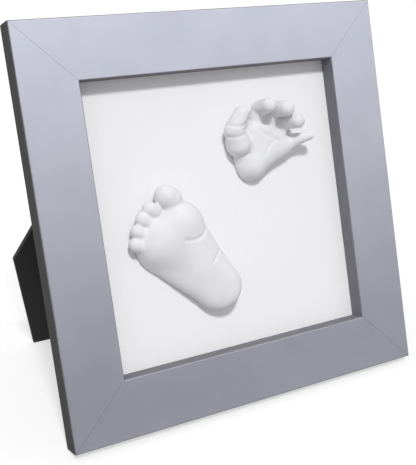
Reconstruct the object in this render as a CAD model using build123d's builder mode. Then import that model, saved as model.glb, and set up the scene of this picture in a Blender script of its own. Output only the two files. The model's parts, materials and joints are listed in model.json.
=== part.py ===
"""Leaning table frame with plaster casts of a baby's foot and hand, millimetres, +Z up.

The frame faces -Y and leans back. The origin is the middle of the standing frame's footprint, on the table.
"""
import os
from math import cos, radians, sin, sqrt, tan

from build123d import *

# Moulding and stance
frame_side = 240.0
rail_width = 35.0
rail_depth = 15.0
rebate_width = 6.0
arris_radius = 0.8
mitre_gap = 0.1
lean_angle = 19.0

# Boards in the rebate
card_thickness = 1.5
back_thickness = 2.5
board_clearance = 0.4

# V-nails across the mitres
nail_leg = 4.0
nail_thickness = 0.6
nail_height = 7.0
nail_insets = (9.0, 20.0)

# Turn buttons and their screws
button_length = 23.0
button_width = 9.0
button_thickness = 1.2
button_tail = 5.0
button_inset = 19.0
button_edge = 0.2
button_clearance = 0.1
screw_radius = 1.5
screw_length = 9.0
screw_point = 3.0
screw_head_radius = 3.0
screw_head_height = 1.4
screw_clearance = 0.05

# Strut, measured down from the hinge axis
open_angle = 37.0
button_room = 1.7
strut_thickness = 3.0
strut_hinge_half = 66.0
strut_shoulder_half = 116.5
strut_shoulder_drop = 108.0
strut_foot_half = 100.0
strut_corner_radius = 2.0
stop_gap = 0.1

# Butt hinges of the strut
hinge_spread = 40.0
hinge_length = 30.0
leaf_width = 16.0
leaf_thickness = 0.8
barrel_radius = 2.0
barrel_clearance = 0.15
barrel_gap = 0.2
pin_radius = 1.15
pin_clearance = 0.05
pin_head_radius = 1.7
pin_head_thickness = 0.6

# Tubular rivets of the hinge leaves
rivet_radius = 1.5
rivet_tail_radius = 2.3
rivet_tail_depth = 0.7
rivet_head_radius = 2.8
rivet_head_height = 0.9
rivet_clearance = 0.05
rivet_spread = 9.0
rivet_drop = 10.0

# Casts on the display board, placed on the frame from the middle of its bottom edge
pad_radius = 5.0
pad_thickness = 0.8
foot_place = (-14.0, 74.0)
foot_turn = 34.6
hand_place = (18.0, 136.0)
hand_turn = -38.0

# Sole of the foot, heel to toes: place along the foot, left edge, right edge, height
foot_sections = (
    (-11.6, -6.0, 5.0, 8.0),
    (-8.5, -11.0, 9.5, 12.5),
    (-2.0, -15.5, 14.0, 15.5),
    (8.0, -17.5, 16.5, 16.5),
    (20.0, -20.0, 17.0, 15.5),
    (32.0, -24.0, 17.8, 14.8),
    (44.0, -26.2, 20.0, 15.0),
    (54.0, -26.6, 19.4, 12.5),
    (61.0, -22.0, 16.0, 8.0),
)
# Toes, as runs of joints: place (across, along, above the seat) and radius
foot_toes = {
    "big": (((12.6, 56.0, 5.4), 7.2), ((12.1, 64.3, 6.0), 7.6)),
    "second": (((-0.4, 57.0, 4.6), 4.6), ((-0.1, 67.0, 5.0), 4.9)),
    "third": (((-7.8, 56.5, 4.4), 4.2), ((-7.3, 65.8, 4.8), 4.5)),
    "fourth": (((-15.2, 54.0, 4.2), 4.2), ((-15.1, 63.2, 4.6), 4.5)),
    "little": (((-21.2, 50.0, 4.2), 4.4), ((-21.6, 59.0, 4.6), 4.7)),
}

# Palm of the hand, wrist to knuckles: place along the palm, left edge, right edge, height
palm_sections = (
    (6.0, -9.0, 2.5, 7.0),
    (14.0, -14.0, 9.5, 10.0),
    (23.0, -18.0, 15.0, 11.5),
    (31.0, -18.0, 14.5, 11.0),
    (36.0, -12.0, 9.0, 7.0),
)
# Wrist, heel and digits of the upright hand, as runs of joints: place (across, along, above), radius
hand_limbs = {
    "wrist": (((-0.5, 6.8, 0.0), 6.6), ((5.0, 12.0, 2.0), 8.0)),
    "heel": (((7.0, 9.6, 2.2), 7.0), ((23.5, 16.4, 4.2), 6.4)),
    "thumb": (((-6.5, 22.2, 5.0), 8.0), ((-9.0, 31.6, 7.6), 6.5), ((-4.0, 40.6, 9.4), 5.0)),
    "index": (((8.5, 32.0, 5.0), 4.9), ((10.0, 42.4, 6.6), 5.0), ((10.9, 44.0, 17.0), 4.7)),
    "middle": (((17.5, 30.0, 5.2), 5.1), ((21.0, 41.2, 7.0), 5.1), ((24.6, 40.8, 18.2), 4.8)),
    "ring": (((24.0, 24.5, 5.0), 5.0), ((30.0, 33.2, 6.6), 4.9), ((32.2, 32.2, 16.4), 4.5)),
    "little": (((27.2, 17.2, 4.6), 4.8), ((35.0, 22.0, 7.0), 4.0), ((42.8, 23.6, 11.6), 2.7)),
}

# A limb leaves its joint's ball at this share of the ball's radius, so each joint shows as a soft roll
limb_neck = 0.96

# Round of a cast's section: its shoulder lies one of so many parts of the width in from its edge, at a share
# of its height, and its sides splay at the seat
shoulder_parts = 12
shoulder_rise = 0.6
seat_splay = 0.2

# Sizes and places that follow from the ones above
half_side = frame_side / 2
rebate_depth = card_thickness + back_thickness
board_side = frame_side - 2 * (rail_width - rebate_width + board_clearance)
axis_height = barrel_radius + barrel_clearance
cast_seat = rebate_depth + pad_thickness
lean, tilt = radians(lean_angle), radians(open_angle - lean_angle)

# The open strut's top edge rises above its hinge, and stays clear of the end of the top turn button
strut_rear = axis_height + strut_thickness
strut_rise = (axis_height - stop_gap) / tan(radians(open_angle)) + strut_rear / sin(radians(open_angle))
button_reach = button_length - button_tail
hinge_height = frame_side - button_inset - button_reach - button_room - strut_rise

# The strut's rear face meets the table furthest back, the front bottom arris stands furthest forward
axis_back = hinge_height * sin(lean) + axis_height * cos(lean)
axis_up = hinge_height * cos(lean) - axis_height * sin(lean)
strut_reach = (axis_up + strut_rear * sin(tilt)) / cos(tilt)
foot_back = axis_back + strut_reach * sin(tilt) + strut_rear * cos(tilt)
toe_front = (rail_depth - arris_radius) * cos(lean) - arris_radius * sin(lean) + arris_radius
standing_edge = (toe_front - foot_back) / 2

FRAME = Plane(origin=(0, standing_edge, 0), x_dir=(1, 0, 0), z_dir=(0, -cos(lean), sin(lean)))


def on(base, across=0.0, along=0.0, above=0.0, turn=(0, 0, 0)):
    """The base plane carried to a point in its own coordinates, then turned about its own axes."""
    return Plane(base.location * Pos(across, along, above) * Rot(*turn))


def turning_plane(base):
    """Plane through the base plane's axis: x outwards, y along the axis."""
    return on(base, turn=(90, 0, 0))


def pivot_plane(side):
    """Plane of a turn button: on the rail's back, x to the middle of the frame, z to the rear."""
    return on(side, along=button_inset - half_side, turn=(180, 0, -90))


CENTRE = on(FRAME, along=half_side)
BACK = on(FRAME, along=hinge_height, turn=(180, 0, 0))
STRUT = on(BACK, above=axis_height, turn=(open_angle, 0, 0))
STRUT_FACE = on(STRUT, above=axis_height, turn=(0, 180, 0))
FOOT = on(FRAME, *foot_place, cast_seat, (0, 0, foot_turn))
HAND = on(FRAME, *hand_place, cast_seat)
PALM = on(HAND, turn=(0, 0, hand_turn))
SIDES = {name: on(CENTRE, turn=(0, 0, turn)) for name, turn in
         (("bottom", 0), ("right", 90), ("top", 180), ("left", 270))}


def rivet(seat, grip, room=0.0, mode=Mode.ADD):
    """A rivet through a grip, domed on the seat plane and flared flush at the far end."""
    with BuildSketch(turning_plane(seat)) as profile:
        with BuildLine():
            Polyline((0, rivet_head_height), (0, -grip), (rivet_tail_radius + room, -grip),
                     (rivet_radius + room, rivet_tail_depth - grip), (rivet_radius + room, 0),
                     (rivet_head_radius, 0))
            RadiusArc((rivet_head_radius, 0), (0, rivet_head_height),
                      -(rivet_head_radius**2 + rivet_head_height**2) / (2 * rivet_head_height))
        make_face()
    revolve(profile.sketch, axis=Axis(seat.origin, seat.z_dir), mode=mode)


def leaf(seat, barrels):
    """A hinge leaf on its seat plane, with barrels over the given spans of the hinge's length."""
    root = barrel_radius + barrel_gap
    with BuildSketch(seat) as plate:
        with Locations((0, (root + leaf_width) / 2)):
            Rectangle(hinge_length, leaf_width - root)
        for start, end in barrels:
            with Locations(((start + end) / 2, root / 2)):
                Rectangle(end - start, root)
    extrude(plate.sketch, amount=leaf_thickness)
    barrel = on(seat, above=axis_height, turn=(0, 90, 0))
    for start, end in barrels:
        with BuildSketch(barrel.offset(start)) as knuckle:
            Circle(barrel_radius)
        extrude(knuckle.sketch, amount=end - start)
    with BuildSketch(barrel) as bore:
        Circle(pin_radius + pin_clearance)
    extrude(bore.sketch, amount=hinge_length, both=True, mode=Mode.SUBTRACT)


def cast_body(base, sections):
    """Domed loft on the base plane through sections (along, left edge, right edge, height)."""
    outlines = []
    for along, left, right, height in sections:
        middle = (left + right) / 2
        inset = (right - left) / shoulder_parts
        shoulder = shoulder_rise * height
        with BuildSketch(on(base, along=along, turn=(90, 0, 0))) as outline:
            with BuildLine():
                Line((right, 0), (left, 0))
                Spline((left, 0), (left + inset, shoulder), (middle, height),
                       (right - inset, shoulder), (right, 0),
                       tangents=((-seat_splay, 1), (-seat_splay, -1)))
            make_face()
        outlines.append(outline.sketch)
    loft(outlines)


def limb(base, joints):
    """A run of tapered limbs on the base plane, with a ball at each joint (place, radius)."""
    for place, radius in joints:
        with Locations(base.from_local_coords(place)):
            Sphere(radius)
    for (start, start_radius), (end, end_radius) in zip(joints, joints[1:]):
        root, tip = (Vector(*base.from_local_coords(point)) for point in (start, end))
        length = (tip - root).length
        along = (tip - root).normalized()
        across = along.cross(base.z_dir).normalized()
        with BuildSketch(Plane(root, across, across.cross(along))) as profile:
            with BuildLine():
                Polyline((0, 0), (limb_neck * start_radius, 0), (limb_neck * end_radius, length),
                         (0, length), close=True)
            make_face()
        revolve(profile.sketch, axis=Axis(root, along))


def save(piece, name):
    """Label a finished piece and write it under its own name."""
    piece.part.label = name
    export_step(piece.part, f"parts/{name}.step")


os.makedirs("parts", exist_ok=True)

# V-nails: two across the back of each mitre, flush with the rails' backs
with BuildPart() as v_nails:
    for side in SIDES.values():
        for inset in nail_insets:
            with BuildSketch(on(side, half_side - inset, inset - half_side, turn=(0, 0, 135))):
                with BuildLine():
                    wall = nail_thickness * sqrt(2)
                    heel = nail_leg + wall
                    Polyline((0, 0), (-nail_leg, nail_leg), (-heel, nail_leg), (-wall, 0),
                             (-heel, -nail_leg), (-nail_leg, -nail_leg), close=True)
                make_face()
            extrude(amount=nail_height)
save(v_nails, "corner_v_nails")

# Rails: one moulding profile, mitred at both ends, with the turn button's pilot hole in the back
for name, side in SIDES.items():
    inner = rail_width - half_side
    with BuildPart() as rail:
        with BuildSketch(Plane(side.origin, side.y_dir, side.x_dir)):
            with BuildLine():
                Polyline((-half_side, 0), (-half_side, rail_depth), (inner, rail_depth),
                         (inner, rebate_depth), (inner - rebate_width, rebate_depth),
                         (inner - rebate_width, 0), close=True)
            face = make_face()
            fillet(face.vertices().sort_by(Axis.Y)[-2:], arris_radius)
        extrude(amount=half_side, both=True)
        for hand in (1, -1):
            mitre = Plane(side.origin, side.z_dir, hand * side.x_dir + side.y_dir)
            split(bisect_by=mitre.offset(-mitre_gap / 2), keep=Keep.BOTTOM)
        add(v_nails.part, mode=Mode.SUBTRACT)
        with BuildSketch(pivot_plane(side)):
            Circle(screw_radius + screw_clearance)
        extrude(amount=-screw_length, mode=Mode.SUBTRACT)
    save(rail, f"rail_{name}")

# White board that the casts lie on
with BuildPart() as display_board:
    with BuildSketch(CENTRE.offset(back_thickness)):
        Rectangle(board_side, board_side)
    extrude(amount=card_thickness)
save(display_board, "display_board")

# Hinge seats on the back board and on the strut's front face
hinge_places = {"left": -hinge_spread, "right": hinge_spread}
back_seats = {name: on(BACK, place) for name, place in hinge_places.items()}
strut_seats = {name: on(STRUT_FACE, -place) for name, place in hinge_places.items()}
rivet_places = [hinge + side for hinge in hinge_places.values() for side in (-rivet_spread, rivet_spread)]
board_rivet_seats = [on(BACK, place, rivet_drop, leaf_thickness) for place in rivet_places]
strut_rivet_seats = [on(STRUT, place, rivet_drop, strut_rear) for place in rivet_places]
board_grip = leaf_thickness + back_thickness
strut_grip = leaf_thickness + strut_thickness

# Black board that closes the rebate and carries the strut
with BuildPart() as back_board:
    with BuildSketch(CENTRE):
        Rectangle(board_side, board_side)
    extrude(amount=back_thickness)
    for seat in board_rivet_seats:
        rivet(seat, board_grip, rivet_clearance, Mode.SUBTRACT)
save(back_board, "back_board")

# Strut: its top edge is cut to stop on the back board, its foot to lie flat on the table
with BuildPart() as strut:
    flare = (strut_shoulder_half - strut_hinge_half) / strut_shoulder_drop
    top = -(axis_height + strut_rear) / sin(radians(open_angle))
    with BuildSketch(STRUT.offset(axis_height)):
        with BuildLine():
            Polyline((0, top), (strut_hinge_half + flare * top, top),
                     (strut_shoulder_half, strut_shoulder_drop), (strut_foot_half, strut_reach),
                     (0, strut_reach))
            mirror(about=Plane.YZ)
        corners = make_face().vertices().group_by(Axis.X)
        fillet(corners[0] + corners[-1], strut_corner_radius)
    extrude(amount=strut_thickness)
    split(bisect_by=Plane.XY, keep=Keep.TOP)
    split(bisect_by=BACK.offset(stop_gap), keep=Keep.TOP)
    for seat in strut_rivet_seats:
        rivet(seat, strut_grip, rivet_clearance, Mode.SUBTRACT)
save(strut, "strut")

# Butt hinges: the fixed leaf has the outer barrels, the moving leaf the middle one
third = hinge_length / 3
outer_start = (third + barrel_gap) / 2
inner_end = (third - barrel_gap) / 2
outer_barrels = ((-hinge_length / 2, -outer_start), (outer_start, hinge_length / 2))
inner_barrels = ((-inner_end, inner_end),)
for name, place in hinge_places.items():
    with BuildPart() as fixed_leaf:
        leaf(back_seats[name], outer_barrels)
        for seat in board_rivet_seats:
            rivet(seat, board_grip, rivet_clearance, Mode.SUBTRACT)
    save(fixed_leaf, f"hinge_{name}_fixed_leaf")

    with BuildPart() as moving_leaf:
        leaf(strut_seats[name], inner_barrels)
        for seat in strut_rivet_seats:
            rivet(seat, strut_grip, rivet_clearance, Mode.SUBTRACT)
    save(moving_leaf, f"hinge_{name}_moving_leaf")

    with BuildPart() as hinge_pin:
        barrel = on(BACK, place, above=axis_height, turn=(0, 90, 0))
        with BuildSketch(barrel):
            Circle(pin_radius)
        extrude(amount=hinge_length / 2 + pin_clearance, both=True)
        for end in (1, -1):
            with BuildSketch(barrel.offset(end * (hinge_length / 2 + pin_clearance))):
                Circle(pin_head_radius)
            extrude(amount=end * pin_head_thickness)
    save(hinge_pin, f"hinge_{name}_pin")

with BuildPart() as board_rivets:
    for seat in board_rivet_seats:
        rivet(seat, board_grip)
save(board_rivets, "board_rivets")

with BuildPart() as strut_rivets:
    for seat in strut_rivet_seats:
        rivet(seat, strut_grip)
save(strut_rivets, "strut_rivets")

# Turn buttons: each swings on its screw over the edge of the back board
for name, side in SIDES.items():
    with BuildPart() as turn_button:
        with BuildSketch(pivot_plane(side).offset(button_clearance)):
            with Locations((button_length / 2 - button_tail, 0)):
                SlotOverall(button_length, button_width)
            Circle(screw_radius + screw_clearance, mode=Mode.SUBTRACT)
        extrude(amount=button_thickness)
        rearward = Axis(side.origin, -side.z_dir)
        rear = turn_button.faces().filter_by(rearward).sort_by(rearward)[-1]
        chamfer(rear.outer_wire().edges(), button_edge)
    save(turn_button, f"turn_button_{name}")

with BuildPart() as turn_button_screws:
    for side in SIDES.values():
        pivot = pivot_plane(side)
        seat = button_thickness + 2 * button_clearance
        with BuildSketch(turning_plane(pivot)):
            with BuildLine():
                Polyline((0, seat + screw_head_height), (0, -screw_length),
                         (screw_radius, screw_point - screw_length), (screw_radius, seat),
                         (screw_head_radius, seat))
                RadiusArc((screw_head_radius, seat), (0, seat + screw_head_height),
                          -(screw_head_radius**2 + screw_head_height**2) / (2 * screw_head_height))
            make_face()
        revolve(axis=Axis(pivot.origin, pivot.z_dir))
save(turn_button_screws, "turn_button_screws")

# Foot: domed sole with its toes, cut flat where it is glued
with BuildPart() as foot_cast:
    cast_body(FOOT, foot_sections)
    for joints in foot_toes.values():
        limb(FOOT, joints)
    split(bisect_by=FOOT, keep=Keep.TOP)
save(foot_cast, "foot_cast")

# Hand: domed palm with its thumb and half-closed fingers, cut flat where it is glued
with BuildPart() as hand_cast:
    cast_body(PALM, palm_sections)
    for joints in hand_limbs.values():
        limb(HAND, joints)
    split(bisect_by=HAND, keep=Keep.TOP)
save(hand_cast, "hand_cast")

# Adhesive pads between the casts and the display board
for name, base, sections in (("foot", FOOT, foot_sections[2:-1:2]), ("hand", PALM, palm_sections[1:-1:2])):
    with BuildPart() as glue_pads:
        with BuildSketch(base):
            for along, left, right, height in sections:
                with Locations(((left + right) / 2, along)):
                    Circle(pad_radius)
        extrude(amount=-pad_thickness)
    save(glue_pads, f"{name}_glue_pads")
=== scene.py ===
"""Dresses the leaning table frame that shows plaster casts of a baby's foot and hand.

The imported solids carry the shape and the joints. This script gives each of them its finish, puts finely
sculpted plaster in place of the plain casts and detailed fasteners in place of the plain ones, and lights a
plain studio.
"""
import json
import logging
import math
from dataclasses import asdict, dataclass, fields, replace
from enum import Enum

import bpy
import numpy as np
from mathutils import Matrix, Vector


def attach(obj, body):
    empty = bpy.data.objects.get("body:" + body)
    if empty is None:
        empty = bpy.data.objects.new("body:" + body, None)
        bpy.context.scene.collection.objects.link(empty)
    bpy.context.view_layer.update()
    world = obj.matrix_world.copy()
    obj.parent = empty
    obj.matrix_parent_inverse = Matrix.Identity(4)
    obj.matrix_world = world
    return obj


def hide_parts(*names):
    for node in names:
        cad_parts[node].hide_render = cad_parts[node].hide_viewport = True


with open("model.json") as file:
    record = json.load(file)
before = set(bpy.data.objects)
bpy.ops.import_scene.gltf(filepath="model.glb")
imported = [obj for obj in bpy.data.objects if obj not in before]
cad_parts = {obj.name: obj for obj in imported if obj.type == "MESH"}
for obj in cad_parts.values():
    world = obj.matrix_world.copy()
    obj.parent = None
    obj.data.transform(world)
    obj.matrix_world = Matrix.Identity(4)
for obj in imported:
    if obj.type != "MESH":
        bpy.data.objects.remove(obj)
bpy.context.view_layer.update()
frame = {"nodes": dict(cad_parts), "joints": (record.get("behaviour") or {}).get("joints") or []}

MM = 0.001
LOG = logging.getLogger("cast_frame")

Colour = tuple[float, float, float]
Pair = tuple[float, float]
Point = tuple[float, float, float]
# Place of a limb's joint, across, along and above the seat, and then its radius.
Joint = tuple[float, float, float, float]
Array = np.ndarray
Material = bpy.types.Material
Object = bpy.types.Object
Socket = bpy.types.NodeSocket


class Body(str, Enum):
    """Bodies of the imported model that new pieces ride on."""

    FRAME = "frame"
    STRUT = "strut"


class Slot(str, Enum):
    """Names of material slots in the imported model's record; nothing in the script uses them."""

    PLASTER = "plaster"
    STEEL = "zinc_steel"


class Grain(Enum):
    """Direction of a rail's grain."""

    ACROSS = "across"
    UPRIGHT = "upright"


@dataclass(frozen=True)
class Stance:
    """The leaning frame's own axes in the world, from the middle of its lower rear edge.

    Attributes:
        origin: Middle of the lower rear edge, on the table.
        right: Along the bottom rail.
        up: Up the leaning frame.
        out: Out of the frame's front.
        hinge: Middle of the strut's hinge axis.
        opening: Angle between the back and the open strut, in radians.
        pivots: Pivots of the turn buttons, on the backs of the rails.
    """

    origin: Vector
    right: Vector
    up: Vector
    out: Vector
    hinge: Vector
    opening: float
    pivots: tuple[Vector, ...]

    @classmethod
    def from_joints(cls, joints: list[dict]) -> "Stance":
        """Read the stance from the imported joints.

        Args:
            joints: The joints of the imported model.

        Returns:
            The stance of the frame at rest.
        """
        buttons = [joint for joint in joints if joint["name"].startswith("button_")]
        strut = next(joint for joint in joints if joint["name"] == "strut_fold")
        out = -Vector(buttons[0]["axis"]).normalized()
        right = Vector((1, 0, 0))
        up = out.cross(right)
        seat = Vector(buttons[0]["pos_m"])
        return cls(
            origin=seat - up * (seat.z / up.z), right=right, up=up, out=out, hinge=Vector(strut["pos_m"]),
            opening=math.radians(strut["range_deg"][1]),
            pivots=tuple(Vector(joint["pos_m"]) for joint in buttons))

    def place(self, local: Array) -> Array:
        """Carry rows of right, up and out, in the frame's own millimetres, to the world's metres."""
        axes = np.array([self.right, self.up, self.out])
        return np.array(self.origin) + local * MM @ axes

    @property
    def lean(self) -> float:
        """Angle between the frame and the vertical, in radians."""
        return math.atan2(self.up.y, self.up.z)

    @property
    def strut_down(self) -> Vector:
        """Direction from the hinge to the open strut's foot."""
        return -self.up * math.cos(self.opening) - self.out * math.sin(self.opening)

    @property
    def strut_rear(self) -> Vector:
        """Direction out of the open strut's rear face."""
        return self.up * math.sin(self.opening) - self.out * math.cos(self.opening)


class NodeTree:
    """A node tree, with short ways to add and join nodes."""

    def __init__(self, tree: bpy.types.NodeTree) -> None:
        """Work on a node tree."""
        self.tree = tree

    def add(self, kind: str, inputs: dict | None = None, **settings: object) -> bpy.types.Node:
        """Add a node.

        Args:
            kind: Type of the node.
            inputs: Values, or sockets to join, by name or place of the node's input.
            **settings: Other properties of the node.

        Returns:
            The new node.
        """
        node = self.tree.nodes.new(kind)
        for name, value in settings.items():
            setattr(node, name, value)
        for name, value in (inputs or {}).items():
            self.feed(node.inputs[name], value)
        return node

    def first(self, kind: str, inputs: dict | None = None, **settings: object) -> Socket:
        """Add a node and take its first output."""
        return self.add(kind, inputs, **settings).outputs[0]

    def feed(self, socket: Socket, value: object) -> None:
        """Join a socket to an input, or set the input's value.

        Args:
            socket: The input.
            value: An output socket, or a plain value.
        """
        if isinstance(value, Socket):
            self.tree.links.new(value, socket)
        else:
            socket.default_value = value

    def sum(self, operation: str, *values: object) -> Socket:
        """Work out a number from sockets or other numbers, by the name of an operation."""
        return self.first("ShaderNodeMath", dict(enumerate(values)), operation=operation)

    def times(self, first: object, second: object) -> Socket:
        """Multiply two sockets or numbers."""
        return self.sum("MULTIPLY", first, second)


class Shading(NodeTree):
    """The node tree of a material or of the world, with the patterns that finishes are made of.

    Attributes:
        MIX_INPUTS: Places of a mix node's inputs for the share and two colours.
        MIX_RESULT: Place of its output for a colour.
    """

    MIX_INPUTS = (0, 6, 7)
    MIX_RESULT = 2

    def __init__(self, owner: Material | bpy.types.World) -> None:
        """Turn on the owner's nodes.

        Args:
            owner: A new material, or the world.
        """
        owner.use_nodes = True
        super().__init__(owner.node_tree)
        self.owner = owner

    def finish(self, **values: object) -> Material:
        """Set or join inputs of the material's principled surface.

        Args:
            **values: Values or sockets, by the input's name with underscores for its blanks.

        Returns:
            The finished material.
        """
        for name, value in values.items():
            self.feed(self.tree.nodes["Principled BSDF"].inputs[name.replace("_", " ")], value)
        return self.owner

    def coordinates(self, turn: Point = (0, 0, 0), scale: Point = (1, 1, 1)) -> Socket:
        """Object coordinates, turned by radians about each axis and then stretched along each."""
        turned = {"Vector": self.add("ShaderNodeTexCoord").outputs["Object"], "Rotation": turn}
        return self.first("ShaderNodeMapping", {
            "Vector": self.first("ShaderNodeMapping", turned), "Scale": scale})

    def noise(self, vector: Socket, scale: float, detail: float = 3.0, roughness: float = 0.55) -> Socket:
        """The value of a noise pattern, with finer layers in number and in strength."""
        inputs = {"Vector": vector, "Scale": scale, "Detail": detail, "Roughness": roughness}
        return self.add("ShaderNodeTexNoise", inputs).outputs["Fac"]

    def cells(self, vector: Socket, scale: float) -> Socket:
        """Distance of each point to the middle of its cell, in a pattern of cells."""
        return self.add("ShaderNodeTexVoronoi", {"Vector": vector, "Scale": scale}).outputs["Distance"]

    def ramp(self, value: Socket, low: Colour, high: Colour, span: Pair = (0.3, 0.7)) -> Socket:
        """A colour between two, by a value.

        Args:
            value: The value.
            low: Colour at the low end of the span.
            high: Colour at the high end of the span.
            span: Values at which the two colours stand.

        Returns:
            The socket with the colour.
        """
        node = self.add("ShaderNodeValToRGB", {"Fac": value})
        for stop, place, colour in zip(node.color_ramp.elements, span, (low, high)):
            stop.position = place
            stop.color = (*colour, 1)
        return node.outputs["Color"]

    def spread(self, value: Socket, low: float, high: float, span: Pair = (0.0, 1.0)) -> Socket:
        """Stretch a value that runs over a span, so that it runs from low to high."""
        inputs = {"Value": value, "From Min": span[0], "From Max": span[1], "To Min": low, "To Max": high}
        return self.add("ShaderNodeMapRange", inputs).outputs["Result"]

    def along(self, axis: Vector, start: Vector) -> Socket:
        """Distance of each point along an axis, in metres from a start."""
        way = self.add("ShaderNodeVectorMath", {0: self.coordinates(), 1: axis}, operation="DOT_PRODUCT")
        return self.sum("SUBTRACT", way.outputs["Value"], start.dot(axis))

    def blend(self, share: Socket, low: Socket, high: Socket) -> Socket:
        """A mix of two colours, by the share of the second."""
        node = self.add("ShaderNodeMix", dict(zip(self.MIX_INPUTS, (share, low, high))), data_type="RGBA")
        return node.outputs[self.MIX_RESULT]

    def bump(self, height: Socket, depth: float, strength: float, under: Socket | None = None) -> Socket:
        """Normals of a relief as deep as the given metres, which may lie on a coarser one."""
        inputs = {"Height": height, "Distance": depth, "Strength": strength}
        return self.first("ShaderNodeBump", inputs if under is None else {**inputs, "Normal": under})


@dataclass(frozen=True)
class Finish:
    """A finish whose colour wanders between two tones.

    Attributes:
        dark: Its darker tone.
        light: Its lighter tone.
    """

    dark: Colour
    light: Colour

    def colour(self, shading: Shading, pattern: Socket) -> Socket:
        """The colour that a pattern gives."""
        return shading.ramp(pattern, self.dark, self.light)


@dataclass(frozen=True, kw_only=True)
class SilverFoilShadedEdges(Finish):
    """Satin silver foil with a fine grain along the rail; the rail's edges get a darker tone that is painted
    shade, deepest on the outer edge.

    Attributes:
        grain: Direction of the grain.
        stance: Where the frame stands.
        inside: Darker tone of the inner edge, round the recess: painted shade.
        outside: Still darker tone of the outer edge: painted shade.
        streak: Share of its tone by which an edge's tone strays along the grain.
        lengthwise: How fine the grain is along the rail.
        crosswise: How fine it is across the rail.
        width: Width of the frame, in millimetres.
        face: Height of the front face above the back, in millimetres.
        arris: Width of the line between two faces, in millimetres.
    """

    grain: Grain
    stance: Stance
    dark: Colour = (0.440, 0.450, 0.525)
    light: Colour = (0.470, 0.480, 0.555)
    # Painted shade: the edges are darker than the foil, and the outer edge is darkest.
    inside: Colour = (0.215, 0.212, 0.236)
    outside: Colour = (0.118, 0.118, 0.116)
    streak: float = 0.22
    lengthwise: float = 60.0
    crosswise: float = 2600.0
    width: float = 240.0
    face: float = 15.0
    arris: float = 0.08

    def material(self) -> Material:
        """Make the foil and the painted shade on the edges.

        Returns:
            The material.
        """
        shading = Shading(bpy.data.materials.new(f"silver_foil_{self.grain.value}"))
        stretch = (self.lengthwise, self.crosswise, self.crosswise)
        if self.grain is Grain.UPRIGHT:
            stretch = stretch[::-1]
        grain = shading.noise(shading.coordinates((self.stance.lean, 0, 0), stretch), scale=1.0, detail=2.0)
        cloud = shading.noise(shading.coordinates(), scale=38.0, detail=2.0)
        front = self.front(shading)
        # Painted shade on the edges: a darker tone round the recess, darkest on the outer edge.
        inside, outside = (self.paint(shading, grain, tone) for tone in (self.inside, self.outside))
        edges = shading.blend(self.outer(shading), inside, outside)
        return shading.finish(
            Base_Color=shading.blend(front, edges, self.colour(shading, cloud)),
            Metallic=shading.spread(front, 0.0, 0.8), Specular_IOR_Level=shading.spread(front, 0.0, 0.5),
            Roughness=shading.spread(grain, 0.28, 0.36),
            Normal=shading.bump(grain, depth=0.000012, strength=0.5))

    def paint(self, shading: Shading, grain: Socket, tone: Colour) -> Socket:
        """An edge's painted shade about a middle tone, with streaks along the grain."""
        low, high = (tuple(share * part for part in tone) for share in (1 - self.streak, 1 + self.streak))
        return shading.ramp(grain, low, high)

    def front(self, shading: Shading) -> Socket:
        """Share of the foil at each point: 1 on the front face, 0 on the edges."""
        height = shading.along(self.stance.out, self.stance.origin)
        return self.beyond(shading, height, self.face)

    def outer(self, shading: Shading) -> Socket:
        """Share of the outer edge's darker painted shade at each point: 1 on the outer edge, 0 inside it.

        Args:
            shading: The material's node tree.

        Returns:
            The socket with the share.
        """
        middle = self.stance.origin + self.stance.up * self.width / 2 * MM
        axes = (self.stance.right, self.stance.up)
        ways = [shading.sum("ABSOLUTE", shading.along(axis, middle)) for axis in axes]
        return self.beyond(shading, shading.sum("MAXIMUM", *ways), self.width / 2)

    def beyond(self, shading: Shading, distance: Socket, limit: float) -> Socket:
        """A step from 0 to 1 across the arris below a face, whose distance in millimetres is the limit."""
        span = ((limit - self.arris) * MM, (limit - self.arris / 2) * MM)
        return shading.spread(distance, 0.0, 1.0, span)


@dataclass(frozen=True)
class WhiteCard(Finish):
    """Matt white mount card with a faint felt texture."""

    dark: Colour = (0.845, 0.845, 0.862)
    light: Colour = (0.875, 0.875, 0.888)

    def material(self) -> Material:
        """Make the card.

        Returns:
            The material.
        """
        shading = Shading(bpy.data.materials.new("white_card"))
        felt = shading.noise(shading.coordinates(), scale=1500.0, roughness=0.6)
        return shading.finish(
            Base_Color=self.colour(shading, felt), Roughness=0.78, Specular_IOR_Level=0.25,
            Normal=shading.bump(felt, depth=0.00003, strength=0.35))


@dataclass(frozen=True)
class CastPlaster(Finish):
    """Matt cast plaster with faint clouds, fine grain and a few pinholes."""

    dark: Colour = (0.742, 0.742, 0.760)
    light: Colour = (0.798, 0.798, 0.815)

    def material(self) -> Material:
        """Make the plaster.

        Returns:
            The material.
        """
        shading = Shading(bpy.data.materials.new("cast_plaster"))
        place = shading.coordinates()
        clouds = shading.noise(place, scale=95.0, detail=4.0, roughness=0.5)
        grain = shading.noise(place, scale=2400.0, detail=2.0, roughness=0.6)
        pits = shading.spread(shading.cells(place, scale=420.0), 0.0, 1.0, span=(0.04, 0.14))
        pinholes = shading.bump(pits, depth=0.0001, strength=0.5)
        return shading.finish(
            Base_Color=self.colour(shading, clouds), Roughness=0.86, Specular_IOR_Level=0.2,
            Normal=shading.bump(grain, depth=0.00004, strength=0.4, under=pinholes))


@dataclass(frozen=True)
class BlackHardboard(Finish):
    """Black coated hardboard with a pressed leather-like grain."""

    dark: Colour = (0.008, 0.008, 0.008)
    light: Colour = (0.019, 0.018, 0.017)

    def material(self) -> Material:
        """Make the hardboard.

        Returns:
            The material.
        """
        shading = Shading(bpy.data.materials.new("black_hardboard"))
        place = shading.coordinates()
        pressed = shading.cells(place, scale=900.0)
        fleck = shading.noise(place, scale=700.0, roughness=0.6)
        return shading.finish(
            Base_Color=self.colour(shading, fleck), Roughness=shading.spread(fleck, 0.52, 0.70),
            Specular_IOR_Level=0.3, Normal=shading.bump(pressed, depth=0.00006, strength=0.6))


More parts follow.
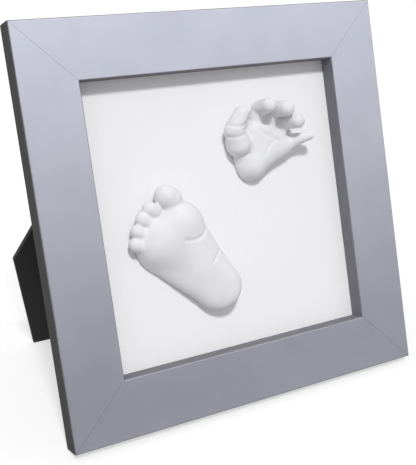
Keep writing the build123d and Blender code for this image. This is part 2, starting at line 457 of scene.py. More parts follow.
@dataclass(frozen=True)
class ZincSteel(Finish):
    """Zinc-plated steel with fine rolling lines."""

    dark: Colour = (0.520, 0.530, 0.545)
    light: Colour = (0.660, 0.665, 0.675)

    def material(self) -> Material:
        """Make the steel.

        Returns:
            The material.
        """
        shading = Shading(bpy.data.materials.new("zinc_steel"))
        lines = shading.noise(shading.coordinates(scale=(160, 2400, 2400)), scale=1.0, detail=2.0)
        patches = shading.noise(shading.coordinates(), scale=260.0, detail=2.0)
        return shading.finish(
            Base_Color=self.colour(shading, patches), Metallic=1.0,
            Roughness=shading.spread(lines, 0.26, 0.42),
            Normal=shading.bump(lines, depth=0.00001, strength=0.4))


@dataclass(frozen=True)
class AdhesiveFoam(Finish):
    """Pale foam adhesive with open cells."""

    dark: Colour = (0.700, 0.690, 0.640)
    light: Colour = (0.860, 0.850, 0.810)

    def material(self) -> Material:
        """Make the foam.

        Returns:
            The material.
        """
        shading = Shading(bpy.data.materials.new("adhesive_foam"))
        cells = shading.cells(shading.coordinates(), scale=1800.0)
        return shading.finish(
            Base_Color=self.colour(shading, cells), Roughness=0.9,
            Normal=shading.bump(cells, depth=0.0001, strength=0.6))


def dress(nodes: list[str], material: Material) -> None:
    """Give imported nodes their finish.

    Args:
        nodes: Names of the nodes.
        material: The finish.
    """
    for name in nodes:
        mesh = frame["nodes"][name].data
        mesh.materials.clear()
        mesh.materials.append(material)
        LOG.info("%s: %s", name, material.name)


def new_object(name: str, data: bpy.types.ID) -> Object:
    """Put a mesh, lamp or camera into the scene, at the origin.

    Args:
        name: Name of the object.
        data: What it shows.

    Returns:
        The new object.
    """
    made = bpy.data.objects.new(name, data)
    bpy.context.scene.collection.objects.link(made)
    return made


def settle(piece: Object, body: Body, node: str) -> None:
    """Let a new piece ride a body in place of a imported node.

    Args:
        piece: The new piece.
        body: The body that carries it.
        node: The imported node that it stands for.
    """
    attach(piece, body.value)
    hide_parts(node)
    LOG.info("%s: %d faces, for %s", piece.name, len(piece.data.polygons), node)


def smooth_union(first: Array, second: Array, width: float) -> Array:
    """Distance to two forms that flow into each other, from the distance to each and the fillet's width."""
    share = np.clip(0.5 + 0.5 * (second - first) / width, 0, 1)
    return second + (first - second) * share - width * share * (1 - share)


def run_distance(points: Array, joints: list[tuple[float, ...]]) -> Array:
    """Distance to a run of round tapered limbs.

    Args:
        points: Points as rows.
        joints: Place of each joint, in order, followed by its radius.

    Returns:
        Distance of each point.
    """
    nearest = np.full(len(points), np.inf)
    for (*start, start_radius), (*end, end_radius) in zip(joints, joints[1:]):
        axis = np.subtract(end, start)
        share = np.clip((points - start) @ axis / (axis @ axis), 0, 1)
        gap = np.linalg.norm(points - start - share[:, None] * axis, axis=1)
        nearest = np.minimum(nearest, gap - start_radius - (end_radius - start_radius) * share)
    return nearest


@dataclass(frozen=True)
class Limb:
    """A run of round tapered limbs, added to a sculpture.

    Attributes:
        joints: Place and radius of each joint, in order.
        fillet: Width of the fillet where it joins the rest.
    """

    joints: tuple[Joint, ...]
    fillet: float

    def shape(self, field: Array, points: Array) -> Array:
        """Add the limb to a field of distances at points."""
        return smooth_union(field, run_distance(points, self.joints), self.fillet)


@dataclass(frozen=True)
class Pad:
    """An ellipsoid, added to a sculpture.

    Attributes:
        centre: Its centre.
        radii: Its three radii.
        fillet: Width of the fillet where it joins the rest.
    """

    centre: Point
    radii: Point
    fillet: float

    def shape(self, field: Array, points: Array) -> Array:
        """Add the pad to a field of distances.

        Args:
            field: Distances to the sculpture so far.
            points: The points that they belong to.

        Returns:
            Distances with the pad.
        """
        least_slope = 1e-9
        local = points - self.centre
        near = np.linalg.norm(local / self.radii, axis=1)
        slope = np.linalg.norm(local / np.square(self.radii), axis=1)
        return smooth_union(field, near * (near - 1) / np.maximum(slope, least_slope), self.fillet)


@dataclass(frozen=True)
class Crown:
    """A ridge from which a sculpture falls away to its left, in a round slope.

    Attributes:
        start: One end of the ridge, across and along.
        end: Its other end.
        height: Its height.
        radius: Radius of the slope.
        fillet: Width of the fillet between slope and sides.
    """

    start: Pair
    end: Pair
    height: float
    radius: float
    fillet: float

    def shape(self, field: Array, points: Array) -> Array:
        """Cut a field of distances at points down to the slope."""
        away = np.maximum((points[:, :2] - self.start) @ self.left, 0)
        return -smooth_union(
            -field, -(points[:, 2] - self.height + np.square(away) / (2 * self.radius)), self.fillet)

    @property
    def left(self) -> Array:
        """Direction from the ridge to its left."""
        run = np.subtract(self.end, self.start)
        return np.array((-run[1], run[0])) / np.linalg.norm(run)


@dataclass(frozen=True)
class Crease:
    """A skin crease along a bent line, seen from above the seat.

    Attributes:
        start: First end, across and along.
        bend: Point that the line is drawn towards.
        end: Last end.
        depth: Its depth.
        width: Its half width.
        steps: Number of straight steps in the line.
    """

    start: Pair
    bend: Pair
    end: Pair
    depth: float
    width: float
    steps: int = 12

    def shape(self, field: Array, points: Array) -> Array:
        """Sink the crease into a field of distances at points."""
        away = run_distance(points[:, :2], [(*place, 0.0) for place in self.line])
        return field + self.depth * np.exp(-np.square(away / self.width))

    @property
    def line(self) -> Array:
        """Points of the bent line, as rows."""
        share = np.linspace(0, 1, self.steps + 1)[:, None]
        return ((1 - share) ** 2 * np.array(self.start) + 2 * share * (1 - share) * np.array(self.bend)
                + share**2 * np.array(self.end))


Form = Limb | Pad | Crown | Crease


def limbs(fillet: float, runs: dict[str, tuple[Joint, ...]]) -> dict[str, Form]:
    """Limbs for named runs of joints, all with the same fillet."""
    return {name: Limb(joints, fillet) for name, joints in runs.items()}


def surface_net(values: Array) -> tuple[Array, Array]:
    """Mesh the zero surface of a block of distances.

    Args:
        values: Distances on a regular grid, negative inside.

    Returns:
        Vertices in grid steps, and quads that face outwards.
    """
    unit = np.eye(3, dtype=int)
    cells = np.array(values.shape) - 1
    total, count = np.zeros((*cells, 3)), np.zeros(cells)
    crossings = []
    for axis in range(3):
        side, other = unit[(axis + 1) % 3], unit[(axis + 2) % 3]
        low, high = np.delete(values, -1, axis), np.delete(values, 0, axis)
        edges = np.argwhere((low < 0) != (high < 0))
        start, end = low[tuple(edges.T)], high[tuple(edges.T)]
        points = edges + (start / (start - end))[:, None] * unit[axis]
        around = [tuple((edges - shift).T) for shift in (side + other, other, 0 * side, side)]
        crossings.append((around, start < 0))
        for cell in around:
            np.add.at(total, cell, points)
            np.add.at(count, cell, 1)
    active = count > 0
    index = np.full(cells, -1)
    index[active] = np.arange(active.sum())
    quads = []
    for around, outwards in crossings:
        quad = np.stack([index[cell] for cell in around], axis=1)
        quads.append(np.where(outwards[:, None], quad, quad[:, ::-1]))
    return total[active] / count[active][:, None], np.concatenate(quads)


@dataclass
class PlasterCast:
    """A cast in the round, sculpted from forms that flow into each other, in millimetres.

    Attributes:
        name: Name of the piece.
        node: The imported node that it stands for.
        place: Its own zero on the frame, right and up.
        turn: Its turn on the board, in degrees.
        forms: Its forms, in the order in which they are sculpted.
        seat: Height of its back above the frame's back.
        pitch: Pitch of the grid on which it is sculpted.
        margin: Room round the limbs on that grid.
        passes: Number of double passes that ease the grid's steps.
        ease: Share of the way that a pass moves each vertex to its neighbours.
        swell: Share of the way back, against shrinking.
    """

    name: str
    node: str
    place: Pair
    turn: float
    forms: dict[str, Form]
    seat: float = 4.8
    pitch: float = 0.55
    margin: float = 4.3
    passes: int = 2
    ease: float = 0.5
    swell: float = 0.52

    def distances(self, points: Array) -> Array:
        """Distance of points to the cast.

        Args:
            points: Points in the cast's own millimetres, as rows.

        Returns:
            Distances, negative inside, cut flat at the seat.
        """
        far = 1e3
        field = np.full(len(points), far)
        for form in self.forms.values():
            field = form.shape(field, points)
        return np.maximum(field, -points[:, 2])

    def reach(self) -> tuple[Array, Array]:
        """Room that the cast's limbs take, with a margin.

        Returns:
            Its lowest and highest corner.
        """
        joints = np.concatenate([form.joints for form in self.forms.values() if isinstance(form, Limb)])
        places, room = joints[:, :3], joints[:, 3:] + self.margin
        low = (places - room).min(axis=0)
        low[2] = -self.margin
        return low, (places + room).max(axis=0)

    def build(self, stance: Stance) -> Object:
        """Sculpt the cast and put it on the board.

        Args:
            stance: Where the frame stands.

        Returns:
            The cast's object.
        """
        low, high = self.reach()
        ticks = [np.arange(start, end, self.pitch) for start, end in zip(low, high)]
        grid = np.stack(np.meshgrid(*ticks, indexing="ij"), axis=-1)
        values = self.distances(grid.reshape(-1, 3)).reshape(grid.shape[:3])
        vertices, quads = surface_net(values)
        vertices = self.smooth(vertices * self.pitch + low, quads)
        cosine, sine = math.cos(math.radians(self.turn)), math.sin(math.radians(self.turn))
        across, along, above = vertices.T
        local = np.stack([self.place[0] + across * cosine - along * sine,
                          self.place[1] + across * sine + along * cosine, self.seat + above], axis=1)
        mesh = bpy.data.meshes.new(self.name)
        mesh.from_pydata(stance.place(local).tolist(), [], quads.tolist())
        mesh.shade_smooth()
        mesh.validate()
        return new_object(self.name, mesh)

    def smooth(self, vertices: Array, quads: Array) -> Array:
        """Ease the steps of the grid out of the surface.

        Args:
            vertices: Vertices as rows.
            quads: Faces as rows of vertex numbers.

        Returns:
            The eased vertices.
        """
        ends = np.concatenate([quads[:, [side, (side + 1) % 4]] for side in range(4)])
        degree = np.bincount(ends.ravel(), minlength=len(vertices))[:, None]
        for strength in (self.ease, -self.swell) * self.passes:
            total = np.zeros_like(vertices)
            np.add.at(total, ends[:, 0], vertices[ends[:, 1]])
            np.add.at(total, ends[:, 1], vertices[ends[:, 0]])
            vertices = vertices + strength * (total / degree - vertices)
        return vertices

    def dress(self, piece: Object, material: Material) -> None:
        """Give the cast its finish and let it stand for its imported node."""
        piece.data.materials.append(material)
        settle(piece, Body.FRAME, self.node)


def foot_cast() -> PlasterCast:
    """The foot, sole outwards, in millimetres from the middle of its heel.

    Returns:
        The cast, to be built.
    """
    return PlasterCast(
        name="plaster_foot", node="foot_cast", place=(-14.0, 74.0), turn=34.6,
        forms={
            **limbs(6.0, {
                "outer sole": ((-1.5, 2.0, 4.6, 12.3), (-14.8, 43.0, 4.4, 11.6)),
                "middle sole": ((0.0, 1.2, 4.6, 12.5), (-3.0, 46.0, 4.4, 12.4)),
                "inner sole": ((1.0, 2.0, 4.6, 12.3), (4.6, 22.0, 4.4, 12.0), (8.2, 44.0, 4.4, 11.6)),
            }),
            "crown": Crown((5.0, 0.0), (4.0, 46.0), height=14.4, radius=32.0, fillet=5.0),
            "outer ball": Pad((-7.8, 46.6, 2.8), radii=(15.2, 13.6, 11.0), fillet=7.0),
            "ball": Pad((9.2, 47.6, 3.4), radii=(11.6, 12.6, 11.8), fillet=6.0),
            "big toe": Limb(((12.6, 57.0, 3.0, 5.6), (12.8, 62.0, 5.4, 7.2), (11.8, 65.0, 5.8, 7.3)), 2.0),
            **limbs(1.6, {
                "second toe": ((1.2, 60.0, 2.6, 3.6), (0.6, 63.5, 5.1, 4.3), (-0.9, 66.8, 5.5, 4.6)),
                "third toe": ((-6.2, 58.4, 2.4, 3.4), (-6.8, 62.1, 4.8, 4.0), (-8.2, 65.4, 5.1, 4.3)),
                "fourth toe": ((-13.4, 55.6, 2.4, 3.4), (-14.1, 59.2, 4.6, 3.9), (-15.6, 62.4, 4.9, 4.2)),
                "little toe": ((-19.2, 51.4, 2.4, 3.5), (-20.0, 54.6, 4.5, 4.0), (-21.4, 57.4, 4.7, 4.3)),
            }),
            "ball crease": Crease((0.5, 40.5), (9.0, 30.5), (18.0, 37.0), depth=0.6, width=1.0),
            "instep crease": Crease((15.5, 20.0), (10.0, 19.6), (4.6, 17.6), depth=0.6, width=0.7),
        },
    )


def hand_cast() -> PlasterCast:
    """The half-closed hand, palm outwards, in millimetres from the foot of its wrist.

    Returns:
        The cast, to be built.
    """
    wrist = (3.0, 8.5, 0.5, 7.5)
    return PlasterCast(
        name="plaster_hand", node="hand_cast", place=(18.0, 136.0), turn=0.0, margin=4.4,
        forms={
            **limbs(4.0, {
                "wrist": ((-2.4, 14.2, 0.6, 6.2), (0.6, 6.6, -2.0, 6.8), wrist),
                "index palm": (wrist, (6.5, 29.0, 4.2, 6.4)),
                "middle palm": (wrist, (14.0, 27.5, 3.6, 6.5)),
                "ring palm": (wrist, (20.5, 22.8, 3.6, 6.5)),
                "little palm": (wrist, (25.0, 17.5, 4.4, 6.2)),
            }),
            "thumb": Limb(((-5.9, 22.5, 5.0, 7.8), (-9.2, 31.2, 7.6, 6.2), (-3.8, 40.4, 9.6, 4.8)), 3.6),
            **limbs(1.8, {
                "index finger": ((8.5, 33.0, 2.8, 4.9), (11.0, 42.4, 6.2, 4.8), (12.0, 43.4, 17.0, 4.6)),
                "middle finger": ((17.5, 31.0, 3.0, 5.1), (20.8, 41.0, 6.2, 5.1), (23.6, 40.2, 18.2, 4.9)),
                "ring finger": ((24.0, 25.5, 2.8, 5.2), (29.2, 32.6, 5.4, 5.0), (31.4, 31.8, 16.4, 4.6)),
                "little finger": ((28.0, 18.0, 4.6, 4.8), (35.0, 20.6, 7.0, 4.0), (42.6, 21.6, 11.4, 2.6)),
            }),
            "thumb tip crease": Crease((-2.6, 34.6), (-7.9, 31.8), (-13.4, 34.2), depth=0.65, width=0.9),
            "thumb root crease": Crease((-4.0, 28.3), (-11.0, 25.4), (-15.6, 28.1), depth=0.6, width=0.9),
            "thenar crease": Crease((-14.1, 17.9), (-9.8, 12.8), (-1.2, 15.8), depth=0.6, width=0.9),
            "palm crease": Crease((9.5, 14.0), (13.0, 21.5), (21.0, 22.0), depth=0.3, width=1.1),
            "finger crease": Crease((5.0, 31.0), (12.0, 25.0), (23.0, 20.5), depth=0.3, width=1.0),
        },
    )


@dataclass(frozen=True)
class FastenerSizes:
    """Sizes of one kind of fastener, in millimetres.

    The length is that below the head. The recess is a cross in the head or a hollow in the tail.
    """

    head_radius: float
    head_height: float
    shank_radius: float
    length: float
    tail_radius: float
    tail_depth: float
    recess_width: float
    recess_depth: float

    @staticmethod
    def label(name: str) -> str:
        """Name of a size's input on the tree."""
        return name.replace("_", " ").title()


class FastenerTree(NodeTree):
    """Geometry nodes that make one kind of fastener at each point of a mesh, in millimetres."""

    SHANK_SHARE_IN_HEAD = 0.4
    NECK_SHARE_OF_SHANK = 0.96
    TAIL_OVERLAP = 0.1
    CROSS_SHARE_OF_HEAD = 1.1
    SECOND_BAR_SHARE = 0.9
    WELD_DISTANCE = 0.004
    SHARP_ANGLE = math.radians(32)

    def __init__(self, name: str) -> None:
        """Build the tree.

        Args:
            name: Name of the tree.
        """
        super().__init__(bpy.data.node_groups.new(name, "GeometryNodeTree"))
        sizes = {FastenerSizes.label(size.name): "Float" for size in fields(FastenerSizes)}
        others = {"Cross Recess": "Bool", "Seed": "Int", "Finish": "Material"}
        for label, kind in {"Geometry": "Geometry", **sizes, **others}.items():
            self.tree.interface.new_socket(label, in_out="INPUT", socket_type=f"NodeSocket{kind}")
        self.tree.interface.new_socket("Geometry", in_out="OUTPUT", socket_type="NodeSocketGeometry")
        self.given = self.add("NodeGroupInput").outputs
        placed = self.scatter(self.crisp(self.cut(self.blank())))
        finish = {"Geometry": placed, "Material": self.given["Finish"]}
        self.add("NodeGroupOutput", {"Geometry": self.first("GeometryNodeSetMaterial", finish)})

    def raised(self, geometry: Socket, height: Socket) -> Socket:
        """Move a geometry up its axis."""
        shift = self.first("ShaderNodeCombineXYZ", {"Z": height})
        return self.first("GeometryNodeTransform", {"Geometry": geometry, "Translation": shift})

    def union(self, *solids: Socket) -> Socket:
        """Join solids.

        Args:
            *solids: The solids.

        Returns:
            All of them as one solid.
        """
        joined = self.add("GeometryNodeMeshBoolean", operation="UNION", solver="EXACT")
        for solid in solids:
            self.tree.links.new(solid, joined.inputs["Mesh"])
        return joined.outputs["Mesh"]

    def blank(self) -> Socket:
        """A domed head on a shank with a flared or pointed tail.

        Returns:
            The uncut fastener, as one solid.
        """
        given = self.given
        ball = self.first("GeometryNodeMeshUVSphere", {"Segments": 32, "Rings": 16, "Radius": 1.0})
        place = self.add("ShaderNodeSeparateXYZ", {0: self.first("GeometryNodeInputPosition")}).outputs
        upper = self.sum("MAXIMUM", place["Z"], 0.0)
        domed = self.first("ShaderNodeCombineXYZ", {
            "X": self.times(place["X"], given["Head Radius"]),
            "Y": self.times(place["Y"], given["Head Radius"]),
            "Z": self.times(upper, given["Head Height"])})
        head = self.first("GeometryNodeSetPosition", {"Geometry": ball, "Position": domed})
        root = self.times(given["Head Height"], self.SHANK_SHARE_IN_HEAD)
        straight = self.sum("SUBTRACT", given["Length"], given["Tail Depth"])
        shank = self.first("GeometryNodeMeshCylinder", {
            "Vertices": 24, "Radius": given["Shank Radius"], "Depth": self.sum("ADD", straight, root)})
        middle = self.times(self.sum("SUBTRACT", root, straight), 0.5)
        tail = self.first("GeometryNodeMeshCone", {
            "Vertices": 24, "Radius Top": self.times(given["Shank Radius"], self.NECK_SHARE_OF_SHANK),
            "Radius Bottom": given["Tail Radius"],
            "Depth": self.sum("ADD", given["Tail Depth"], self.TAIL_OVERLAP)})
        tip = self.times(given["Length"], -1.0)
        return self.union(head, self.raised(shank, middle), self.raised(tail, tip))

    def cut(self, solid: Socket) -> Socket:
        """Cut the driver's cross into the head, or the hollow into the tail.

        Args:
            solid: The uncut fastener.

        Returns:
            The cut fastener.
        """
        given = self.given
        width, top = given["Recess Width"], given["Head Height"]
        span = self.times(given["Head Radius"], self.CROSS_SHARE_OF_HEAD)
        twice = self.times(given["Recess Depth"], 2.0)
        shallow = self.times(twice, self.SECOND_BAR_SHARE)
        bars = []
        for sides in ((span, width, twice), (width, span, shallow)):
            size = self.first("ShaderNodeCombineXYZ", dict(zip("XYZ", sides)))
            bars.append(self.raised(self.first("GeometryNodeMeshCube", {"Size": size}), top))
        bore = self.first("GeometryNodeMeshCylinder", {
            "Vertices": 20, "Radius": self.times(width, 0.5), "Depth": twice})
        hollow = self.raised(bore, self.times(given["Length"], -1.0))
        choice = {"Switch": given["Cross Recess"], "False": hollow, "True": self.union(*bars)}
        tool = self.first("GeometryNodeSwitch", choice, input_type="GEOMETRY")
        made = self.first("GeometryNodeMeshBoolean", {"Mesh 1": solid, "Mesh 2": tool},
                          operation="DIFFERENCE", solver="EXACT")
        return self.first("GeometryNodeMergeByDistance", {"Geometry": made, "Distance": self.WELD_DISTANCE})

    def crisp(self, solid: Socket) -> Socket:
        """Shade the round faces smooth and keep the edges crisp.

        Args:
            solid: The fastener.

        Returns:
            The shaded fastener.
        """
        faces = {"Geometry": solid, "Shade Smooth": True}
        smooth = self.first("GeometryNodeSetShadeSmooth", faces, domain="FACE")
        sharp = self.sum("GREATER_THAN", self.first("GeometryNodeInputMeshEdgeAngle"), self.SHARP_ANGLE)
        edges = {"Geometry": smooth, "Selection": sharp, "Shade Smooth": False}
        return self.first("GeometryNodeSetShadeSmooth", edges, domain="EDGE")

    def scatter(self, solid: Socket) -> Socket:
        """Put the fastener at each point, along its facing and turned at random.

        Args:
            solid: The fastener.

        Returns:
            All of them, as one plain mesh.
        """
        facing = self.first("GeometryNodeInputNamedAttribute", {"Name": "facing"}, data_type="FLOAT_VECTOR")
        aligned = self.first("FunctionNodeAlignRotationToVector", {"Vector": facing}, axis="Z")
        # Places of the random node's sockets for plain numbers.
        least, most, drawn = 2, 3, 1
        draw = {least: 0.0, most: math.tau, "Seed": self.given["Seed"]}
        angle = self.add("FunctionNodeRandomValue", draw, data_type="FLOAT").outputs[drawn]
        spin = self.first("FunctionNodeAxisAngleToRotation", {"Axis": (0, 0, 1), "Angle": angle})
        turned = self.first("FunctionNodeRotateRotation", {"Rotation": aligned, "Rotate By": spin},
                            rotation_space="LOCAL")
        placed = self.first("GeometryNodeInstanceOnPoints", {
            "Points": self.given["Geometry"], "Instance": solid, "Rotation": turned})
        return self.first("GeometryNodeRealizeInstances", {"Geometry": placed})


@dataclass(frozen=True)
class FastenerSet:
    """One kind of fastener at several places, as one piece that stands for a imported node.

    The head has a driver's cross, or else the tail is hollow. The seed is that of the random turns.
    """

    name: str
    node: str
    body: Body
    sizes: FastenerSizes
    cross: bool
    seed: int

    def build(self, tree: FastenerTree, seats: list[Vector], facing: Vector, material: Material) -> None:
        """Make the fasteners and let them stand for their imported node.

        Args:
            tree: The geometry nodes.
            seats: Middle of each head's seat.
            facing: Direction that the heads face.
            material: Their finish.
        """
        points = bpy.data.meshes.new(f"{self.name}_seats")
        points.from_pydata([seat / MM for seat in seats], [], [])
        facings = points.attributes.new("facing", "FLOAT_VECTOR", "POINT")
        facings.data.foreach_set("vector", list(facing) * len(seats))
        maker = new_object(f"{self.name}_maker", points)
        nodes = maker.modifiers.new("fasteners", "NODES")
        nodes.node_group = tree.tree
        values = {FastenerSizes.label(name): size for name, size in asdict(self.sizes).items()}
        values.update({"Cross Recess": self.cross, "Seed": self.seed, "Finish": material})
        for item in tree.tree.interface.items_tree:
            if item.in_out == "INPUT" and item.name in values:
                nodes[item.identifier] = values[item.name]
        made = bpy.data.meshes.new_from_object(maker.evaluated_get(bpy.context.evaluated_depsgraph_get()))
        made.transform(Matrix.Scale(MM, 4))
        made.name = self.name
        bpy.data.objects.remove(maker)
        settle(new_object(self.name, made), self.body, self.node)


@dataclass
class Fasteners:
    """Screws of the turn buttons and rivets of the hinge leaves, in millimetres.

    Attributes:
        stance: Where the frame stands.
        material: Their finish.
        screw: Sizes of a screw.
        rivet: Sizes of a rivet, but for its length.
        screw_seat: Height of the screws' seats above the backs of the rails.
        leaf_thickness: Thickness of a hinge leaf.
        axis_height: Distance of the hinge axis from both boards.
        strut_thickness: Thickness of the strut.
        back_thickness: Thickness of the back board.
        rivet_drop: Distance of the rivets from the hinge axis.
        rivet_places: Their places across the frame.
    """

    stance: Stance
    material: Material
    screw: FastenerSizes = FastenerSizes(
        head_radius=3.0, head_height=1.4, shank_radius=1.5, length=10.4, tail_radius=0.05, tail_depth=3.0,
        recess_width=0.8, recess_depth=0.9)
    rivet: FastenerSizes = FastenerSizes(
        head_radius=2.8, head_height=0.9, shank_radius=1.5, length=3.3, tail_radius=2.3, tail_depth=0.7,
        recess_width=2.0, recess_depth=1.2)
    screw_seat: float = 1.4
    leaf_thickness: float = 0.8
    axis_height: float = 2.15
    strut_thickness: float = 3.0
    back_thickness: float = 2.5
    rivet_drop: float = 10.0
    rivet_places: tuple[float, ...] = (-49.0, -31.0, 31.0, 49.0)

    def build(self) -> None:
        """Make all the fasteners."""
        stance, tree = self.stance, FastenerTree("fastener")
        rear = -stance.out
        screws = FastenerSet("turn_button_cross_screws", "turn_button_screws", Body.FRAME, self.screw,
                             cross=True, seed=7)
        seats = [pivot + rear * self.screw_seat * MM for pivot in stance.pivots]
        screws.build(tree, seats, rear, self.material)
        across = [stance.right * place * MM for place in self.rivet_places]
        board_seat = (stance.hinge - rear * (self.axis_height - self.leaf_thickness) * MM
                      - stance.up * self.rivet_drop * MM)
        strut_seat = (stance.hinge + stance.strut_down * self.rivet_drop * MM
                      + stance.strut_rear * (self.axis_height + self.strut_thickness) * MM)
        rows = {
            "board": (Body.FRAME, self.back_thickness, board_seat, rear, 11),
            "strut": (Body.STRUT, self.strut_thickness, strut_seat, stance.strut_rear, 13),
        }
        for name, (body, thickness, seat, facing, seed) in rows.items():
            sizes = replace(self.rivet, length=self.leaf_thickness + thickness)
            row = FastenerSet(f"{name}_tubular_rivets", f"{name}_rivets", body, sizes, cross=False, seed=seed)
            row.build(tree, [seat + shift for shift in across], facing, self.material)


@dataclass
class Moulding:
    """The four mitred rails and the V-nails across their mitres.

    Attributes:
        stance: Where the frame stands.
        steel: Finish of the V-nails.
    """

    stance: Stance
    steel: Material

    def dress(self) -> None:
        """Give each rail foil with its grain along it."""
        dress(["rail_bottom", "rail_top"], SilverFoilShadedEdges(grain=Grain.ACROSS, stance=self.stance).material())
        dress(["rail_left", "rail_right"], SilverFoilShadedEdges(grain=Grain.UPRIGHT, stance=self.stance).material())
        dress(["corner_v_nails"], self.steel)


@dataclass
class Easel:
    """The boards in the rebate, the strut, its hinges and the turn buttons.

    Attributes:
        steel: Finish of the fittings.
    """

    steel: Material

    def dress(self) -> None:
        """Give the boards and the fittings their finishes."""
        dress(["display_board"], WhiteCard().material())
        dress(["back_board", "strut"], BlackHardboard().material())
        for side in ("left", "right"):
            dress([f"hinge_{side}_{part}" for part in ("fixed_leaf", "moving_leaf", "pin")], self.steel)
        dress([f"turn_button_{side}" for side in ("bottom", "right", "top", "left")], self.steel)


@dataclass
class Casts:
    """The plaster foot and hand, and the pads that hold them to the board.

    Attributes:
        stance: Where the frame stands.
    """

    stance: Stance

    def build(self) -> None:
        """Sculpt and dress both casts."""
        plaster = CastPlaster().material()
        for cast in (foot_cast(), hand_cast()):
            cast.dress(cast.build(self.stance), plaster)
        dress(["foot_glue_pads", "hand_glue_pads"], AdhesiveFoam().material())


@dataclass(frozen=True)
class KeyLight:
    """A soft light, as from a large lamp far away.

    Attributes:
        toward: Direction to the lamp.
        strength: Its strength.
        spread: How wide it looks, in degrees.
    """

    toward: Point = (-0.20, -0.71, 1.01)
    strength: float = 1.95
    spread: float = 8.0

    def build(self) -> None:
        """Hang the lamp."""
        data = bpy.data.lights.new("key", "SUN")
        data.energy = self.strength
        data.angle = math.radians(self.spread)
        made = new_object("key", data)
        made.rotation_euler = Vector(self.toward).to_track_quat("Z", "Y").to_euler()


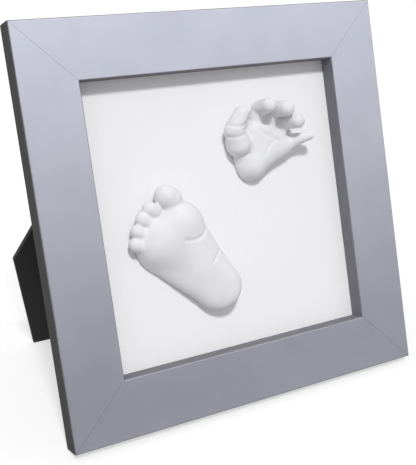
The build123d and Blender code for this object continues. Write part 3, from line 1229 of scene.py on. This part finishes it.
@dataclass
class Studio:
    """Floor, lamp, surroundings and camera.

    Attributes:
        camera_place: The camera's place, in metres.
        camera_aim: Direction of its view.
        camera_up: Its upward direction.
        camera_near: Distance from which it sees, in metres.
        lens: Its focal length for a 36 mm sensor.
        floor_low: Left front corner of the floor, in metres.
        floor_high: Its right rear corner.
        floor_tone: Its tone.
        floor_grain: How much darker its grain is.
        floor_lift: Glow by which the camera sees it as white.
        floor_fore: Depth behind which reflections show that glow, in metres.
        room: Strength of the room's light.
        room_low: Its strength in reflections, low in the room.
        room_high: Its strength in reflections, high in the room.
        room_span: Heights of the low and the high.
        room_tilt: How much higher the room seems on its right.
        room_behind: Depths between which it turns white behind the frame.
        key: The lamp.
    """

    camera_place: Point = (-0.24376, -0.44160, 0.30223)
    camera_aim: Point = (0.4460, 0.8076, -0.3860)
    camera_up: Point = (0.1678, 0.3481, 0.9223)
    camera_near: float = 0.01
    lens: float = 65.289
    floor_low: Pair = (-2.5, -0.30)
    floor_high: Pair = (2.5, 3.5)
    floor_tone: Colour = (0.42, 0.42, 0.43)
    floor_grain: float = 0.01
    floor_lift: float = 0.60
    floor_fore: float = -0.05
    room: float = 0.52
    room_low: float = 0.08
    room_high: float = 1.6
    room_span: Pair = (0.0, 0.60)
    room_tilt: float = 0.2
    room_behind: Pair = (-0.1, 0.2)
    key: KeyLight = KeyLight()

    def build(self) -> None:
        """Set up the studio."""
        self.floor()
        self.surroundings()
        self.key.build()
        self.camera()

    def seen(self, shading: Shading) -> Socket:
        """Whether the camera, or a mirror or glass before it, looks at a point.

        Args:
            shading: The node tree that asks.

        Returns:
            The socket with 1 or 0.
        """
        rays = shading.add("ShaderNodeLightPath").outputs
        found = rays["Is Camera Ray"]
        for kind in ("Is Glossy Ray", "Is Transmission Ray"):
            found = shading.sum("MAXIMUM", found, rays[kind])
        return found

    def floor(self) -> None:
        """Lay a pale sheet that the camera sees as white and that keeps the shadow."""
        (left, front), (right, back) = self.floor_low, self.floor_high
        corners = [(left, front, 0), (right, front, 0), (right, back, 0), (left, back, 0)]
        mesh = bpy.data.meshes.new("floor")
        mesh.from_pydata(corners, [], [(0, 1, 2, 3)])
        shading = Shading(bpy.data.materials.new("pale_floor"))
        grain = shading.noise(shading.coordinates(), scale=60.0)
        darker = tuple(tone - self.floor_grain for tone in self.floor_tone)
        depth = shading.along(Vector((0, 1, 0)), Vector((0, self.floor_fore, 0)))
        mirrored = shading.times(self.seen(shading), shading.sum("GREATER_THAN", depth, 0.0))
        camera = shading.add("ShaderNodeLightPath").outputs["Is Camera Ray"]
        lift = shading.times(self.floor_lift, shading.sum("MAXIMUM", camera, mirrored))
        mesh.materials.append(shading.finish(
            Base_Color=shading.ramp(grain, darker, self.floor_tone), Roughness=0.9, Specular_IOR_Level=0.0,
            Emission_Color=(1, 1, 1, 1), Emission_Strength=lift))
        new_object("floor", mesh)

    def surroundings(self) -> None:
        """A soft room light, white to the camera, and to reflections of what lies behind the frame."""
        world = bpy.data.worlds.new("studio")
        bpy.context.scene.world = world
        shading = Shading(world)
        camera = shading.add("ShaderNodeLightPath").outputs["Is Camera Ray"]
        direction = shading.add("ShaderNodeTexCoord").outputs["Generated"]
        way = shading.add("ShaderNodeSeparateXYZ", {0: direction}).outputs
        height = shading.sum("MULTIPLY_ADD", way["X"], self.room_tilt, way["Z"])
        front = shading.spread(height, self.room_low, self.room_high, self.room_span)
        behind = shading.spread(way["Y"], 0.0, 1.0, self.room_behind)
        white = shading.sum("MAXIMUM", shading.sum("MAXIMUM", front, behind), camera)
        mix = {"Factor": self.seen(shading), "A": self.room, "B": white}
        background = world.node_tree.nodes["Background"].inputs
        shading.feed(background["Strength"], shading.first("ShaderNodeMix", mix))
        shading.feed(background["Color"], (1, 1, 1, 1))

    def camera(self) -> None:
        """Put the camera where the photograph was taken from."""
        data = bpy.data.cameras.new("camera")
        data.lens = self.lens
        data.clip_start = self.camera_near
        made = new_object("camera", data)
        ahead = Vector(self.camera_aim).normalized()
        side = ahead.cross(Vector(self.camera_up)).normalized()
        turn = Matrix((side, side.cross(ahead), -ahead)).transposed()
        made.matrix_world = Matrix.Translation(self.camera_place) @ turn.to_4x4()
        bpy.context.scene.camera = made


def main() -> None:
    """Build each sub-assembly in order, then the studio."""
    logging.basicConfig(level=logging.INFO, format="%(name)s: %(message)s")
    bpy.context.scene.view_settings.view_transform = "Standard"
    stance = Stance.from_joints(frame["joints"])
    steel = ZincSteel().material()
    Moulding(stance, steel).dress()
    Easel(steel).dress()
    Casts(stance).build()
    Fasteners(stance, steel).build()
    Studio().build()


if __name__ == "__main__":
    main()
